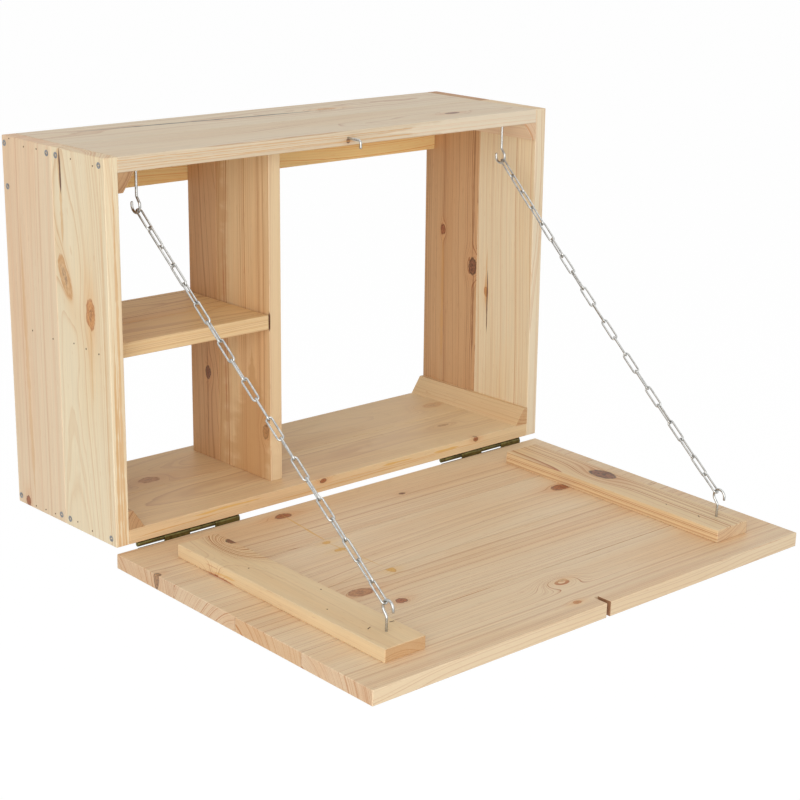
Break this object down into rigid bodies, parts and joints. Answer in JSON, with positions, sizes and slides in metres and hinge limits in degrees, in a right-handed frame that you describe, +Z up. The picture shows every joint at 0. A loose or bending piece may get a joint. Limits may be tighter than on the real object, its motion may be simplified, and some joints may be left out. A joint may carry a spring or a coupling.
{
  "type": "fold down wall desk",
  "caption": "Shallow pine wall cabinet with a divider and a shelf, whose hinged front folds down on chains to make a small desk top, with a turning hook to hold it shut.",
  "frame": {"origin": "middle of the two wall screw holes, on the back face of the hanging rail", "axes": "+X to the right as seen from the room, +Y into the wall, +Z up"},
  "size_m": [0.5806, 0.5598, 0.4107],
  "materials": {
    "pine_cabinet": "bare planed pine",
    "pine_flap": "bare planed pine",
    "zinc_steel": "bright zinc plated",
    "yellow_zinc_steel": "yellow zinc plated",
    "hinge_screw_steel": "yellow zinc plated"
  },
  "bodies": {
    "cabinet": {"left_side_front_board": "pine_cabinet", "left_side_rear_board": "pine_cabinet", "right_side_front_board": "pine_cabinet", "right_side_rear_board": "pine_cabinet", "top_front_board": "pine_cabinet", "top_rear_board": "pine_cabinet", "bottom_front_board": "pine_cabinet", "bottom_rear_board": "pine_cabinet", "divider_front_board": "pine_cabinet", "divider_rear_board": "pine_cabinet", "shelf_front_board": "pine_cabinet", "shelf_rear_board": "pine_cabinet", "hanging_rail": "pine_cabinet", "corner_batten_top_left": "pine_cabinet", "corner_batten_top_right": "pine_cabinet", "corner_batten_bottom_left": "pine_cabinet", "corner_batten_bottom_right": "pine_cabinet", "hinge_left_cabinet_leaf": "yellow_zinc_steel", "hinge_left_pin": "yellow_zinc_steel", "side_screws_left": "zinc_steel", "top_hook_left": "zinc_steel", "hinge_right_cabinet_leaf": "yellow_zinc_steel", "hinge_right_pin": "yellow_zinc_steel", "side_screws_right": "zinc_steel", "top_hook_right": "zinc_steel", "hinge_cabinet_screws": "hinge_screw_steel"},
    "flap": {"flap_board_1": "pine_flap", "flap_board_2": "pine_flap", "flap_board_3": "pine_flap", "flap_board_4": "pine_flap", "flap_batten_left": "pine_flap", "hinge_left_flap_leaf": "yellow_zinc_steel", "flap_hook_left": "zinc_steel", "flap_batten_right": "pine_flap", "hinge_right_flap_leaf": "yellow_zinc_steel", "flap_hook_right": "zinc_steel", "hinge_flap_screws": "hinge_screw_steel"},
    "latch": {"latch_hook": "zinc_steel"},
    "chain_left_upper": {"chain_left_upper": "zinc_steel"},
    "chain_left_bight_a": {"chain_left_bight_a": "zinc_steel"},
    "chain_left_bight_b": {"chain_left_bight_b": "zinc_steel"},
    "chain_left_drop": {"chain_left_drop": "zinc_steel"},
    "chain_left_lower": {"chain_left_lower": "zinc_steel"},
    "chain_right_upper": {"chain_right_upper": "zinc_steel"},
    "chain_right_bight_a": {"chain_right_bight_a": "zinc_steel"},
    "chain_right_bight_b": {"chain_right_bight_b": "zinc_steel"},
    "chain_right_drop": {"chain_right_drop": "zinc_steel"},
    "chain_right_lower": {"chain_right_lower": "zinc_steel"}
  },
  "joints": [
    {"name": "flap_fold", "type": "hinge", "parent": "cabinet", "child": "flap", "pos_m": [0, -0.1774, -0.343], "axis": [-1, 0, 0], "range_deg": [0, 91.46]},
    {"name": "latch_turn", "type": "hinge", "parent": "cabinet", "child": "latch", "pos_m": [0.002, -0.18, 0.0325], "axis": [0, 1, 0], "range_deg": [-90, 90]},
    {"name": "chain_left_upper_swing", "type": "hinge", "parent": "cabinet", "child": "chain_left_upper", "pos_m": [-0.242, -0.1586, -0.0125], "axis": [0.9633, -0.0506, -0.2636], "range_deg": [0, 49.86]},
    {"name": "chain_left_bight_a_swing", "type": "hinge", "parent": "chain_left_upper", "child": "chain_left_bight_a", "pos_m": [-0.2332, -0.31261, -0.1511], "axis": [0.4927, -0.1138, -0.8627], "range_deg": [0, 17.16]},
    {"name": "chain_left_bight_b_swing", "type": "hinge", "parent": "chain_left_bight_a", "child": "chain_left_bight_b", "pos_m": [-0.2322, -0.33024, -0.16679], "axis": [0.5886, -0.6126, 0.5275], "range_deg": [0, 124.43]},
    {"name": "chain_left_drop_swing", "type": "hinge", "parent": "chain_left_bight_b", "child": "chain_left_drop", "pos_m": [-0.23135, -0.34529, -0.18017], "axis": [0.848, -0.289, 0.4442], "range_deg": [0, 61.52]},
    {"name": "chain_left_lower_swing", "type": "hinge", "parent": "flap", "child": "chain_left_lower", "pos_m": [-0.2225, -0.50175, -0.31776], "axis": [-0.9986, 0.0165, -0.051], "range_deg": [0, 46.62]},
    {"name": "chain_right_upper_swing", "type": "hinge", "parent": "cabinet", "child": "chain_right_upper", "pos_m": [0.242, -0.1586, -0.0125], "axis": [0.9997, -0.0244, 0.0097], "range_deg": [0, 51.5]},
    {"name": "chain_right_bight_a_swing", "type": "hinge", "parent": "chain_right_upper", "child": "chain_right_bight_a", "pos_m": [0.23726, -0.3113, -0.15258], "axis": [-0.1553, -0.6589, -0.736], "range_deg": [0, 11.14]},
    {"name": "chain_right_bight_b_swing", "type": "hinge", "parent": "chain_right_bight_a", "child": "chain_right_bight_b", "pos_m": [0.23672, -0.32891, -0.16828], "axis": [0.6775, 0.4772, -0.5598], "range_deg": [0, 121.67]},
    {"name": "chain_right_drop_swing", "type": "hinge", "parent": "chain_right_bight_b", "child": "chain_right_drop", "pos_m": [0.23626, -0.34398, -0.18165], "axis": [0.6789, 0.4725, -0.562], "range_deg": [0, 56.38]},
    {"name": "chain_right_lower_swing", "type": "hinge", "parent": "flap", "child": "chain_right_lower", "pos_m": [0.2315, -0.50175, -0.31776], "axis": [-0.9992, -0.0161, 0.0364], "range_deg": [0, 33.38]}
  ],
  "couplings": [
    {"joint": "chain_left_upper_swing", "follows": "flap_fold", "ratio": 0.54498},
    {"joint": "chain_left_bight_a_swing", "follows": "flap_fold", "ratio": 0.18743},
    {"joint": "chain_left_bight_b_swing", "follows": "flap_fold", "ratio": 1.3604},
    {"joint": "chain_left_drop_swing", "follows": "flap_fold", "ratio": 0.67249},
    {"joint": "chain_left_lower_swing", "follows": "flap_fold", "ratio": 0.5096},
    {"joint": "chain_right_upper_swing", "follows": "flap_fold", "ratio": 0.56295},
    {"joint": "chain_right_bight_a_swing", "follows": "flap_fold", "ratio": 0.12164},
    {"joint": "chain_right_bight_b_swing", "follows": "flap_fold", "ratio": 1.3301},
    {"joint": "chain_right_drop_swing", "follows": "flap_fold", "ratio": 0.61623},
    {"joint": "chain_right_lower_swing", "follows": "flap_fold", "ratio": 0.36483}
  ]
}
